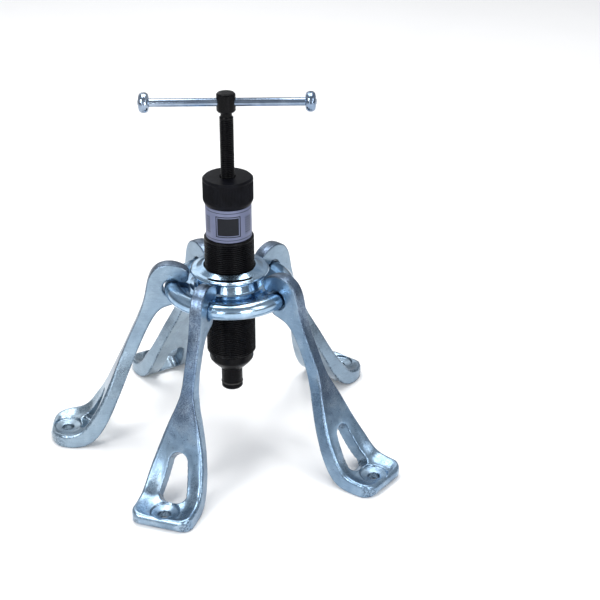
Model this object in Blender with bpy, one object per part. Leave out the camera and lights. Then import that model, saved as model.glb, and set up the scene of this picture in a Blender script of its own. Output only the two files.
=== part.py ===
"""Five-leg hydraulic hub and gear puller.

A turned yoke with a round rim carries five forged legs that hook over the rim.
A hydraulic ram screws through the yoke: its forcing screw drives a small pump
plunger, and the oil drives the large piston whose nose presses on the axle.

Units: metres in the scene; the constants below are millimetres.
Frame: +Z up along the ram axis, origin on the axis at the end of the ram's nose.
The legs stand splayed out, each foot flat, and the tee bar lies close to X.
"""

import math

import bmesh
import bpy
from mathutils import Matrix, Vector

MM = 0.001

# ---- driving dimensions (mm) -------------------------------------------------
CLEAR = 0.3             # air kept between pieces that touch on the real tool

THREAD_R = 19.05        # ram body thread, 1 1/2 inch over the crests
THREAD_Z = (33.5, 131.3)
SEAT_R = 16.7           # turned seat under the label sleeve
SEAT_TOP = 158.0
SPIGOT_R = 14.0         # top spigot inside the cap
SPIGOT_TOP = 173.0
CYL_R = 12.6            # large cylinder bore
CYL_TOP = 79.5
PUMP_R = 6.1            # pump bore
PUMP_TOP = 161.5

CAP_R = 19.1
CAP_Z = (158.3, 179.0)
LABEL_R = (17.0, 17.5)
LABEL_Z = (131.8, 157.7)

SCREW_R = 5.25          # forcing screw
SCREW_Z = (145.5, 225.4)
NECK_R = 4.3
HEAD_R = 7.1
HEAD_Z = (229.3, 244.2)
BAR_Z = 236.8           # height of the tee bar's axis
BAR_R = 3.15
BAR_HOLE_R = 3.5
BAR_X = (-64.3, 66.0)   # the two ends of the tee bar
KNOB_R = 7.6
KNOB_HALF = 3.9
KNOB_X = (-59.7, 61.5)  # middle of each bar knob
BAR_HEADING = 1.4       # degrees from +X

ROD_R = 8.3             # piston rod and nose
PISTON_R = 12.3
PISTON_Z = (64.3, 75.0)
PLUNGER_R = 5.8
PLUNGER_Z = (126.0, 141.4)
BALL_R = 3.0
BALL_Z = 142.2

RIM_R = 44.2            # circle of the yoke rim's section centre
RIM_Z = 88.0
RIM_BAR = 6.3           # radius of the rim's round section
BORE_R = THREAD_R + CLEAR
YOKE_Z = (76.0, 107.0)

HOOK_BORE = 7.4         # radius of the leg's hook bore
LEG_HALF = 4.8          # half thickness of hook and shank
FOOT_HALF = 23.8        # half width of the foot
TOE_U = 101.5           # end of the toe, measured outwards from the rim circle
HOLE_U = 88.6           # stud hole, measured outwards from the rim circle
HOLE_R = 4.5
SEAT_CONE_R = 10.6      # mouth of the nut's conical seat
DISH = 3.0              # depth of the forged dish in the foot plate

# Each leg: name, where its hook sits on the rim, and which way the leg points.
LEGS = (
    ("leg_front_left", -113.0, -108.6, 10.0),
    ("leg_right", -29.0, -36.4, 11.0),
    ("leg_back_right", 48.0, 49.0, 20.0),
    ("leg_back_left", 121.5, 123.3, 18.0),
    ("leg_left", 180.5, 181.6, 18.5),
)

# ---- scene helpers -----------------------------------------------------------


def clear_scene():
    for obj in list(bpy.data.objects):
        bpy.data.objects.remove(obj, do_unlink=True)


def material(name, colour, metallic, roughness):
    mat = bpy.data.materials.new(name)
    mat.use_nodes = True
    shader = mat.node_tree.nodes["Principled BSDF"]
    shader.inputs["Base Color"].default_value = (*colour, 1.0)
    shader.inputs["Metallic"].default_value = metallic
    shader.inputs["Roughness"].default_value = roughness
    return mat


def link(mesh, name, mat, helper=False):
    obj = bpy.data.objects.new(name, mesh)
    bpy.context.scene.collection.objects.link(obj)
    if mat is not None:
        mesh.materials.append(mat)
    if helper:
        obj.hide_render = True
        obj.display_type = "WIRE"
    return obj


def finish_mesh(bm, name, smooth_angle=38.0):
    bmesh.ops.remove_doubles(bm, verts=bm.verts, dist=1e-7)
    bmesh.ops.recalc_face_normals(bm, faces=bm.faces)
    mesh = bpy.data.meshes.new(name)
    bm.to_mesh(mesh)
    bm.free()
    mesh.shade_smooth()
    mesh.set_sharp_from_angle(angle=math.radians(smooth_angle))
    return mesh


def turned(name, profile, steps, mat, origin_z=0.0, closed=False, helper=False):
    """A turned piece: the (radius, height) profile spun once round Z.

    An open profile starts and ends on the axis; a closed one is a ring."""
    bm = bmesh.new()
    points = [
        bm.verts.new((r * MM, 0.0, (z - origin_z) * MM)) for r, z in profile
    ]
    edges = [bm.edges.new((a, b)) for a, b in zip(points, points[1:])]
    if closed:
        edges.append(bm.edges.new((points[-1], points[0])))
    bmesh.ops.spin(
        bm,
        geom=points + edges,
        cent=(0, 0, 0),
        axis=(0, 0, 1),
        angle=2 * math.pi,
        steps=steps,
        use_merge=True,
    )
    obj = link(finish_mesh(bm, name), name, mat, helper)
    obj.location = (0, 0, origin_z * MM)
    return obj


def subtract(obj, cutter):
    cut = obj.modifiers.new("cut_" + cutter.name, "BOOLEAN")
    cut.operation = "DIFFERENCE"
    cut.solver = "EXACT"
    cut.object = cutter


def arc(cx, cy, radius, start, end, count):
    """Points on an arc from start to end degrees, both ends included."""
    out = []
    for i in range(count):
        a = math.radians(start + (end - start) * i / (count - 1))
        out.append((cx + radius * math.cos(a), cy + radius * math.sin(a)))
    return out


def polar(radius, degrees):
    a = math.radians(degrees)
    return radius * math.cos(a), radius * math.sin(a)


# ---- the yoke ----------------------------------------------------------------


def make_yoke(mat):
    """Threaded boss, top collar, waisted neck, shallow trough and round rim."""
    low, top = YOKE_Z
    profile = [
        (BORE_R, top - 0.8),
        (BORE_R + 0.8, top),
        (21.2, 106.9),
        (25.6, 104.9),
        (28.6, 104.6),
        (29.9, 103.9),
        (30.3, 102.8),
        (29.8, 101.7),
        (28.4, 101.1),
        (26.2, 100.7),
        (25.0, 99.3),
        (25.0, 94.6),
        (25.8, 93.0),
        (27.8, 92.0),
        (31.0, 91.2),
        (35.4, 91.0),
        (38.4, 91.6),
    ]
    profile += arc(RIM_R, RIM_Z, RIM_BAR, 131, -155, 12)
    profile += [
        (35.5, 84.9),
        (29.5, 84.7),
        (26.4, 83.4),
        (25.2, 81.0),
        (25.0, low + 1.2),
        (23.8, low),
        (BORE_R + 1.0, low),
        (BORE_R, low + 1.0),
    ]
    return turned("yoke", profile, 48, mat, RIM_Z, closed=True)


# ---- the ram -----------------------------------------------------------------


def make_ram(black, steel, sleeve, seal):
    z0, z1 = THREAD_Z
    body = [
        (PUMP_R, CYL_TOP),
        (PUMP_R, PUMP_TOP),
        (8.3, PUMP_TOP),
        (8.3, SPIGOT_TOP),
        (SPIGOT_R - 0.8, SPIGOT_TOP),
        (SPIGOT_R, SPIGOT_TOP - 0.8),
        (SPIGOT_R, SEAT_TOP),
        (SEAT_R, SEAT_TOP),
        (SEAT_R, z1),
        (THREAD_R - 0.7, z1),
        (THREAD_R, z1 - 0.8),
        (THREAD_R, z0 + 0.9),
        (THREAD_R - 1.0, z0),
        (14.8, z0),
        (14.8, 41.3),
        (CYL_R, 41.3),
        (CYL_R, CYL_TOP),
    ]
    turned("ram_body", body, 36, black, 0, closed=True)

    c0, c1 = CAP_Z
    cap = [
        (SCREW_R + 0.45, 173.3),
        (SCREW_R + 0.45, c1 - 0.4),
        (SCREW_R + 0.9, c1),
        (CAP_R - 1.3, c1),
        (CAP_R, c1 - 1.3),
        (CAP_R, c0 + 2.9),
        (CAP_R - 1.2, c0),
        (SPIGOT_R + CLEAR, c0),
        (SPIGOT_R + CLEAR, 173.3),
    ]
    turned("ram_cap", cap, 36, black, 0, closed=True)

    turned(
        "label_band",
        [
            (LABEL_R[0], LABEL_Z[0]),
            (LABEL_R[1], LABEL_Z[0]),
            (LABEL_R[1], LABEL_Z[1]),
            (LABEL_R[0], LABEL_Z[1]),
        ],
        40,
        sleeve,
        0,
        closed=True,
    )
    turned(
        "screw_bush",
        [
            (SCREW_R + CLEAR, PUMP_TOP + CLEAR),
            (8.0, PUMP_TOP + CLEAR),
            (8.0, 172.3),
            (7.4, 172.9),
            (SCREW_R + CLEAR, 172.9),
        ],
        28,
        steel,
        0,
        closed=True,
    )
    gland = [
        (ROD_R + CLEAR, 18.9),
        (10.3, 18.9),
        (15.2, 24.2),
        (17.0, 26.9),
        (17.25, 27.6),
        (17.25, 32.5),
        (16.6, z0 - CLEAR),
        (14.5, z0 - CLEAR),
        (14.5, 41.0),
        (ROD_R + CLEAR, 41.0),
        (ROD_R + CLEAR, 29.6),
        (10.9, 29.6),
        (10.9, 26.6),
        (ROD_R + CLEAR, 26.6),
    ]
    turned("gland_nut", gland, 32, black, 0, closed=True)
    turned(
        "rod_wiper",
        [
            (ROD_R + CLEAR, 26.9),
            (10.6, 26.9),
            (10.6, 29.3),
            (ROD_R + CLEAR + 0.5, 29.3),
        ],
        28,
        seal,
        0,
        closed=True,
    )
    make_spring(steel)


def make_spring(mat):
    """Return spring between the gland and the piston head."""
    turns, mean_r, wire = 5.5, 10.4, 0.95
    low, high = 42.4, 62.9
    per_turn = 10
    count = int(turns * per_turn) + 1
    curve = bpy.data.curves.new("return_spring", "CURVE")
    curve.dimensions = "3D"
    curve.bevel_depth = wire * MM
    curve.bevel_resolution = 1
    curve.use_fill_caps = True
    spline = curve.splines.new("POLY")
    spline.points.add(count - 1)
    for i in range(count):
        a = 2 * math.pi * i / per_turn
        share = i / (count - 1)
        # end coils close up, the middle ones are open
        rise = share - math.sin(2 * math.pi * share) / (2 * math.pi) * 0.55
        z = low + (high - low) * rise
        spline.points[i].co = (
            mean_r * math.cos(a) * MM,
            mean_r * math.sin(a) * MM,
            z * MM,
            1.0,
        )
    curve.materials.append(mat)
    obj = bpy.data.objects.new("return_spring", curve)
    bpy.context.scene.collection.objects.link(obj)
    return obj


def make_piston(steel, seal):
    g0, g1 = 67.0, 72.2
    piston = [
        (0, 0),
        (ROD_R - 0.8, 0),
        (ROD_R, 0.8),
        (ROD_R, 3.9),
        (7.25, 3.9),
        (7.25, 5.9),
        (ROD_R, 5.9),
        (ROD_R, PISTON_Z[0]),
        (PISTON_R, PISTON_Z[0]),
        (PISTON_R, g0),
        (9.8, g0),
        (9.8, g1),
        (PISTON_R, g1),
        (PISTON_R, PISTON_Z[1] - 0.6),
        (PISTON_R - 0.6, PISTON_Z[1]),
        (0, PISTON_Z[1]),
    ]
    turned("ram_piston", piston, 36, steel)
    turned(
        "piston_seal",
        [(10.1, g0 + 0.3), (PISTON_R, g0 + 0.3), (PISTON_R, g0 + 2.7), (10.1, g0 + 2.7)],
        32,
        seal,
        0,
        closed=True,
    )
    turned(
        "piston_backup_ring",
        [(10.1, g0 + 3.0), (PISTON_R, g0 + 3.0), (PISTON_R, g1 - 0.3), (10.1, g1 - 0.3)],
        32,
        steel,
        0,
        closed=True,
    )
    turned("nose_ring", arc(8.15, 4.9, 0.6, 0, 315, 8), 32, seal, 0, closed=True)


def make_pump(steel, seal):
    g0, g1 = 129.6, 132.0
    low, top = PLUNGER_Z
    plunger = [
        (0, low),
        (PLUNGER_R - 0.5, low),
        (PLUNGER_R, low + 0.5),
        (PLUNGER_R, g0),
        (4.3, g0),
        (4.3, g1),
        (PLUNGER_R, g1),
        (PLUNGER_R, top - 0.5),
        (PLUNGER_R - 0.5, top),
        (BALL_R + 0.35, top),
        (BALL_R + 0.35, BALL_Z - BALL_R - 0.3),
        (0, BALL_Z - BALL_R - 0.3),
    ]
    turned("pump_plunger", plunger, 28, steel)
    turned(
        "plunger_seal",
        [(4.6, g0 + 0.3), (PLUNGER_R, g0 + 0.3), (PLUNGER_R, g1 - 0.3), (4.6, g1 - 0.3)],
        28,
        seal,
        0,
        closed=True,
    )
    ball = [(abs(r), z) for r, z in arc(0, BALL_Z, BALL_R, -90, 90, 10)]
    ball[0], ball[-1] = (0, ball[0][1]), (0, ball[-1][1])
    turned("thrust_ball", ball, 18, steel)


# ---- forcing screw and tee bar -----------------------------------------------


def bar_matrix(along=0.0):
    """Local +Z laid along the tee bar, at the given distance from the screw axis."""
    heading = math.radians(BAR_HEADING)
    way = Vector((math.cos(heading), math.sin(heading), 0))
    turn = way.to_track_quat("Z", "Y").to_matrix().to_4x4()
    return Matrix.Translation(way * along * MM + Vector((0, 0, BAR_Z * MM))) @ turn


def make_screw(black, bright):
    s0, s1 = SCREW_Z
    h0, h1 = HEAD_Z
    screw = [
        (0, s0),
        (SCREW_R - 1.1, s0),
        (SCREW_R, s0 + 1.1),
        (SCREW_R, s1),
        (NECK_R, s1 + 0.9),
        (NECK_R, h0),
        (HEAD_R - 0.8, h0 + 0.5),
        (HEAD_R, h0 + 1.5),
        (HEAD_R, h1 - 1.2),
        (HEAD_R - 0.9, h1 - 0.2),
        (HEAD_R - 2.6, h1),
        (0, h1),
    ]
    head = turned("forcing_screw", screw, 32, black)
    drill = turned(
        "bar_hole_cutter",
        [(0, -12), (BAR_HOLE_R, -12), (BAR_HOLE_R, 12), (0, 12)],
        24,
        None,
        helper=True,
    )
    drill.matrix_world = bar_matrix()
    subtract(head, drill)

    x0, x1 = BAR_X
    bar = [
        (0, x0),
        (1.7, x0),
        (BAR_R, x0 + 0.7),
        (BAR_R, x1 - 0.7),
        (1.7, x1),
        (0, x1),
    ]
    turned("tommy_bar", bar, 20, bright).matrix_world = bar_matrix()

    k = KNOB_HALF
    knob = [
        (BAR_R + CLEAR, -k + 0.2),
        (4.4, -k),
        (6.3, -k + 0.6),
        (7.3, -k + 1.9),
        (KNOB_R, -0.9),
        (KNOB_R, 0.9),
        (7.3, k - 1.9),
        (6.3, k - 0.6),
        (4.4, k),
        (BAR_R + CLEAR, k - 0.2),
    ]
    for name, x in zip(("bar_knob_left", "bar_knob_right"), KNOB_X):
        turned(name, knob, 28, bright, closed=True).matrix_world = bar_matrix(x)


# ---- the legs ----------------------------------------------------------------
# A leg is drawn in its own upright plane: u runs outwards and w upwards from the
# centre of the rim's section, t sideways. Each station joins a point on the
# outer face to a point on the inner face and gives the half width there.


def smooth_step(x, a, b):
    x = min(max((x - a) / (b - a), 0.0), 1.0)
    return x * x * (3 - 2 * x)


def leg_stations(toe):
    bore = lambda degrees: polar(HOOK_BORE, degrees)
    pairs = [
        ((-13.0, 11.0), (-12.2, 6.6)),       # blunt tip of the hook
        ((-12.4, 13.6), (-10.4, 4.9)),
        ((-9.8, 16.4), (-7.6, 4.5)),
        ((-5.2, 18.9), bore(134)),
        ((0.4, 20.2), bore(108)),
        ((6.0, 20.0), bore(82)),
        ((11.4, 17.9), bore(56)),
        ((15.6, 14.0), bore(30)),
        ((18.6, 8.4), bore(4)),
        ((20.4, 1.6), bore(-22)),
        ((21.7, -5.0), bore(-48)),
        ((23.2, -11.0), bore(-76)),
        ((24.8, -16.0), bore(-103)),
        ((25.8, -18.7), (-4.4, -7.9)),       # lower lip under the rim
        ((26.7, -21.0), (-5.0, -10.6)),
        ((27.6, -23.2), (-3.0, -13.0)),
        ((28.7, -25.8), (2.6, -14.7)),
        ((30.1, -29.0), (8.6, -17.2)),
        ((32.2, -33.6), (14.0, -22.6)),
        ((35.4, -40.6), (20.0, -33.2)),      # straight shank
        ((40.8, -52.6), (27.6, -49.8)),
        ((44.8, -61.6), (33.2, -62.8)),
        ((48.6, -70.4), (37.6, -73.0)),
        ((52.2, -78.6), (41.6, -82.4)),
        ((55.8, -86.6), (45.6, -91.6)),
        ((59.0, -93.0), (49.4, -100.0)),
        ((62.6, -99.2), (53.4, -108.2)),
        ((66.6, -105.0), (58.0, -116.2)),    # heel
        ((70.8, -111.2), (63.2, -123.0)),
        ((75.3, -116.0), (69.2, -127.9)),
        ((79.9, -118.5), (75.6, -130.3)),
        ((84.6, -119.6), (82.0, -131.0)),
        ((89.4, -120.0), (88.6, -131.0)),
        ((93.4, -120.1), (93.2, -131.0)),    # foot
        ((96.2, -120.2), (95.8, -131.0)),
        ((98.4, -120.5), (97.6, -131.0)),
        ((100.1, -121.2), (99.0, -131.0)),
        ((101.2, -122.4), (99.8, -130.6)),
        ((101.5, -124.0), (100.2, -129.6)),
    ]
    widths = (                               # half width against height w
        (-47.0, LEG_HALF),
        (-54.0, 5.6),
        (-63.0, 8.6),
        (-72.0, 12.2),
        (-81.0, 15.4),
        (-90.0, 18.2),
        (-99.0, 20.6),
        (-107.0, 22.2),
        (-114.0, 23.2),
        (-119.0, FOOT_HALF),
    )
    out = []
    for outer, inner in pairs:
        w = outer[1]
        half = LEG_HALF
        if outer[0] > 84 or w < widths[-1][0]:
            half = FOOT_HALF
        else:
            for (wa, ha), (wb, hb) in zip(widths, widths[1:]):
                if wb <= w < wa:
                    half = ha + (hb - ha) * (wa - w) / (wa - wb)
        if outer[0] > TOE_U - toe:
            corner = (outer[0] - TOE_U + toe) / (toe + 0.1)
            half -= toe * (1 - math.sqrt(max(0.0, 1 - corner**2)))
        dish = 0.0
        if outer[0] > 35:
            dish = DISH * smooth_step(-w, 72, 84) * (1 - smooth_step(outer[0], 96.2, 99.9))
        out.append((outer, inner, half, dish))
    return out


def leg_body_mesh(toe):
    bm = bmesh.new()
    rings = []
    for outer, inner, half, dish in leg_stations(toe):
        o = Vector((outer[0], outer[1]))
        i = Vector((inner[0], inner[1]))
        depth = (o - i).length
        e = (o - i) / depth
        co = min(1.2 + 1.2 * smooth_step(half, 6, 14), 0.28 * depth)
        ci = min(0.9, 0.22 * depth)
        rim = max(co + 0.6, half * 0.5) if dish == 0 else 6.0
        rim = min(rim, half - 1.2)
        section = [
            (-(half - co), 0.0),
            (-half, co),
            (-half, depth - ci),
            (-(half - ci), depth),
            (half - ci, depth),
            (half, depth - ci),
            (half, co),
            (half - co, 0.0),
            (half - rim, dish),
            (-(half - rim), dish),
        ]
        ring = []
        for t, down in section:
            p = o - e * down
            ring.append(bm.verts.new((p.x * MM, t * MM, p.y * MM)))
        rings.append(ring)
    n = len(rings[0])
    for a, b in zip(rings, rings[1:]):
        for k in range(n):
            bm.faces.new((a[k], a[(k + 1) % n], b[(k + 1) % n], b[k]))
    bm.faces.new(rings[0])
    bm.faces.new(rings[-1])
    return finish_mesh(bm, "leg", 30.0)


SLOT_WAY = Vector((0.8, 0.6)).normalized()      # the slot is punched along this way
SLOT_DOWN = Vector((0.6, -0.8)).normalized()    # down the plate, across the punch
SLOT_Q = (107.0, 144.3)                         # its two ends, measured down the plate
SLOT_HALF = (7.3, 10.8)                         # half widths at the top and the foot


def slot_outline(per_arc=5):
    """Rounded slot outline as (q, t): narrow at the top, wide at the foot."""
    q0, q1 = SLOT_Q
    top_r, low_half = SLOT_HALF
    corner = 6.6
    pts = []
    for qa, ta in arc(q0 + top_r, 0, top_r, 250, 110, per_arc + 1):
        pts.append((qa, ta))
    for qa, ta in arc(q1 - corner, low_half - corner, corner, 80, 0, per_arc):
        pts.append((qa, ta))
    for qa, ta in arc(q1 - corner, -(low_half - corner), corner, 0, -80, per_arc):
        pts.append((qa, ta))
    return pts


def slot_cutter():
    bm = bmesh.new()
    near, far = [], []
    for q, t in slot_outline():
        for side, ring in ((-36.0, near), (9.0, far)):
            # long enough to pass both faces of the bent plate
            p = SLOT_DOWN * q + SLOT_WAY * side
            ring.append(bm.verts.new((p.x * MM, t * MM, p.y * MM)))
    n = len(near)
    for k in range(n):
        bm.faces.new((near[k], near[(k + 1) % n], far[(k + 1) % n], far[k]))
    bm.faces.new(near)
    bm.faces.new(far)
    return link(finish_mesh(bm, "slot_cutter"), "slot_cutter", None, helper=True)


def hole_cutter():
    """Stud hole with the nut's conical seat above it."""
    floor = -120.0 - DISH
    profile = [
        (0, floor - 25),
        (HOLE_R, floor - 25),
        (HOLE_R, floor - 2.0),
        (SEAT_CONE_R, floor + 0.2),
        (SEAT_CONE_R + 0.6, floor + 12),
        (0, floor + 12),
    ]
    obj = turned("hole_cutter", profile, 20, None, helper=True)
    return obj


def make_legs(mat):
    slot = slot_cutter()
    hole = hole_cutter()
    for name, hook, heading, toe in LEGS:
        mesh = leg_body_mesh(toe)
        mesh.materials.append(mat)
        leg = bpy.data.objects.new(name, mesh)
        bpy.context.scene.collection.objects.link(leg)
        a = math.radians(hook)
        place = Matrix.Translation(
            (RIM_R * math.cos(a) * MM, RIM_R * math.sin(a) * MM, RIM_Z * MM)
        ) @ Matrix.Rotation(math.radians(heading), 4, "Z")
        leg.matrix_world = place
        for cutter, shift in ((slot, Matrix.Identity(4)), (hole, Matrix.Translation((HOLE_U * MM, 0, 0)))):
            own = bpy.data.objects.new(name + "_" + cutter.name, cutter.data)
            bpy.context.scene.collection.objects.link(own)
            own.hide_render = True
            own.display_type = "WIRE"
            own.matrix_world = place @ shift
            subtract(leg, own)
    for cutter in (slot, hole):
        bpy.data.objects.remove(cutter, do_unlink=True)


def main():
    clear_scene()
    zinc = material("zinc_forged", (0.30, 0.42, 0.55), 1.0, 0.38)
    turned_zinc = material("zinc_turned", (0.36, 0.50, 0.64), 1.0, 0.22)
    bright = material("zinc_bright", (0.52, 0.58, 0.66), 1.0, 0.20)
    black = material("black_oxide", (0.012, 0.012, 0.016), 0.6, 0.38)
    steel = material("ground_steel", (0.45, 0.45, 0.46), 1.0, 0.25)
    sleeve = material("label_silver", (0.40, 0.41, 0.45), 0.3, 0.42)
    seal = material("seal_rubber", (0.02, 0.02, 0.02), 0.0, 0.60)
    rod_black = material("rod_black", (0.015, 0.015, 0.018), 0.7, 0.32)

    make_yoke(turned_zinc)
    make_ram(black, steel, sleeve, seal)
    make_piston(rod_black, seal)
    make_pump(steel, seal)
    make_screw(black, bright)
    make_legs(zinc)


main()
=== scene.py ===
import math

import bmesh
import bpy
import numpy as np
from mathutils import Matrix, Vector


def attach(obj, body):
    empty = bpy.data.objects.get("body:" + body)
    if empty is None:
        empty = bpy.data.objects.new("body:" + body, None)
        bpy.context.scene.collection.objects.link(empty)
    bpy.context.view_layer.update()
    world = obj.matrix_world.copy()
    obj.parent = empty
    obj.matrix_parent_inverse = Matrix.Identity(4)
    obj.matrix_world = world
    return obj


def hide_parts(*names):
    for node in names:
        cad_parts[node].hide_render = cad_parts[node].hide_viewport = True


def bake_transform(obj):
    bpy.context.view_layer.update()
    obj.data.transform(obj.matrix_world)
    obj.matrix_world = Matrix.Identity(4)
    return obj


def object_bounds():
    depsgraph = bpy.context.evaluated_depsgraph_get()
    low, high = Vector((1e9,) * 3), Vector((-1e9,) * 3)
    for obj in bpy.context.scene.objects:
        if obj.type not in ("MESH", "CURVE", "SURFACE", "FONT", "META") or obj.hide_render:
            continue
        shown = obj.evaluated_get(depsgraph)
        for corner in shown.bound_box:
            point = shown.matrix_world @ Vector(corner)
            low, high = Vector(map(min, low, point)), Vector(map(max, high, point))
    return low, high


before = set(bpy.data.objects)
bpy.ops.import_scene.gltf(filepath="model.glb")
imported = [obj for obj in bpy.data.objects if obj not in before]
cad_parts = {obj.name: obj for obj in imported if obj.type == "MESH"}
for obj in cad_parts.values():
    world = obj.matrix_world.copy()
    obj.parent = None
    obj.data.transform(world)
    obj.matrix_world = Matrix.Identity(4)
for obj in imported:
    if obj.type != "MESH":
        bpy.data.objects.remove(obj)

CAD_BOX = [list(map(float, corner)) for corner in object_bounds()]
MM = 0.001

# ---- dimensions shared with the CAD (mm) -------------------------------------
RIM_R, RIM_Z, RIM_BAR = 44.2, 88.0, 6.3
BORE_R = 19.35
THREAD_R, THREAD_Z, THREAD_PITCH = 19.05, (33.5, 131.3), 1.5875
SCREW_R, SCREW_Z, SCREW_PITCH = 5.25, (145.5, 225.4), 1.5
HEAD_R, HEAD_Z = 7.1, (229.3, 244.2)
NECK_R = 4.3
CAP_R, CAP_Z = 19.1, (158.3, 179.0)
BAR_Z, BAR_R, BAR_X, BAR_HEADING = 236.8, 3.15, (-64.3, 66.0), 1.4
KNOB_X, KNOB_R, KNOB_HALF = (-59.7, 61.5), 7.6, 3.9
ROD_R, PISTON_R = 8.3, 12.3
HOOK_BORE, LEG_HALF, FOOT_HALF = 7.4, 4.8, 23.8
TOE_U = 101.5
HOLE_U, HOLE_R, SEAT_CONE_R, DISH = 88.6, 4.5, 10.6, 3.0
LEGS = (
    ("leg_front_left", -113.0, -108.6, 10.0),
    ("leg_right", -29.0, -36.4, 11.0),
    ("leg_back_right", 48.0, 49.0, 20.0),
    ("leg_back_left", 121.5, 123.3, 18.0),
    ("leg_left", 180.5, 181.6, 18.5),
)

# ---- mesh helpers ------------------------------------------------------------


def add(mesh, name, mat):
    obj = bpy.data.objects.new(name, mesh)
    bpy.context.scene.collection.objects.link(obj)
    if mat is not None and not mesh.materials:
        mesh.materials.append(mat)
    return obj


def mesh_from(bm, name, angle=40.0):
    bmesh.ops.remove_doubles(bm, verts=bm.verts, dist=1e-7)
    bmesh.ops.recalc_face_normals(bm, faces=bm.faces)
    mesh = bpy.data.meshes.new(name)
    bm.to_mesh(mesh)
    bm.free()
    mesh.shade_smooth()
    mesh.set_sharp_from_angle(angle=math.radians(angle))
    return mesh


def arc(cx, cy, radius, start, end, count):
    out = []
    for i in range(count):
        a = math.radians(start + (end - start) * i / (count - 1))
        out.append((cx + radius * math.cos(a), cy + radius * math.sin(a)))
    return out


def polar(radius, degrees):
    a = math.radians(degrees)
    return radius * math.cos(a), radius * math.sin(a)


def smooth_step(x, a, b):
    x = min(max((x - a) / (b - a), 0.0), 1.0)
    return x * x * (3 - 2 * x)


def rounded(profile, closed=False, radius=0.35, count=4):
    """Softens each corner of a profile. A third number on a point is its own radius."""
    n = len(profile)
    out = []
    for i, point in enumerate(profile):
        p = Vector(point[:2])
        r = point[2] if len(point) > 2 else radius
        if r <= 0 or (not closed and i in (0, n - 1)):
            out.append(tuple(p))
            continue
        a = Vector(profile[i - 1][:2]) - p
        b = Vector(profile[(i + 1) % n][:2]) - p
        if a.length < 1e-6 or b.length < 1e-6:
            out.append(tuple(p))
            continue
        turn = math.pi - a.angle(b)
        if turn < 0.12:
            out.append(tuple(p))
            continue
        cut = min(r * math.tan(turn / 2), 0.45 * a.length, 0.45 * b.length)
        start, end = p + a.normalized() * cut, p + b.normalized() * cut
        for k in range(count + 1):
            s = k / count
            q = start * (1 - s) ** 2 + p * 2 * s * (1 - s) + end * s * s
            out.append((q.x, q.y))
    return out


def turned(name, profile, steps, mat, closed=False, shape=None, angle=40.0):
    """Spins a (radius, height) profile; shape(radius, height, turn) may change the radius."""
    bm = bmesh.new()
    columns = []
    for i in range(steps):
        t = 2 * math.pi * i / steps
        column = []
        for k, (r, z) in enumerate(profile):
            if r < 1e-6:
                column.append(columns[0][k] if columns else bm.verts.new((0, 0, z * MM)))
                continue
            q = shape(r, z, t, k) if shape else r
            column.append(bm.verts.new((q * math.cos(t) * MM, q * math.sin(t) * MM, z * MM)))
        columns.append(column)
    n = len(profile)
    spans = n if closed else n - 1
    for i in range(steps):
        a, b = columns[i], columns[(i + 1) % steps]
        for k in range(spans):
            m = (k + 1) % n
            quad = []
            for v in (a[k], b[k], b[m], a[m]):
                if v not in quad:
                    quad.append(v)
            if len(quad) > 2:
                bm.faces.new(quad)
    return add(mesh_from(bm, name, angle), name, mat)


def rows(r, z0, z1, step):
    count = max(2, int(round(abs(z1 - z0) / step)))
    return [(r, z0 + (z1 - z0) * i / count) for i in range(count + 1)]


def bar_matrix(along=0.0):
    heading = math.radians(BAR_HEADING)
    way = Vector((math.cos(heading), math.sin(heading), 0))
    turn = way.to_track_quat("Z", "Y").to_matrix().to_4x4()
    return Matrix.Translation(way * along * MM + Vector((0, 0, BAR_Z * MM))) @ turn


def applied(obj, name, angle=40.0):
    """The object's mesh with its modifiers worked in."""
    graph = bpy.context.evaluated_depsgraph_get()
    mesh = bpy.data.meshes.new_from_object(obj.evaluated_get(graph))
    mesh.name = name
    obj.modifiers.clear()
    old = obj.data
    obj.data = mesh
    bpy.data.meshes.remove(old)
    mesh.shade_smooth()
    mesh.set_sharp_from_angle(angle=math.radians(angle))
    return mesh


def cut(obj, cutter):
    mod = obj.modifiers.new("cut", "BOOLEAN")
    mod.operation = "DIFFERENCE"
    mod.solver = "EXACT"
    mod.object = cutter


# ---- materials ---------------------------------------------------------------


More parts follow.
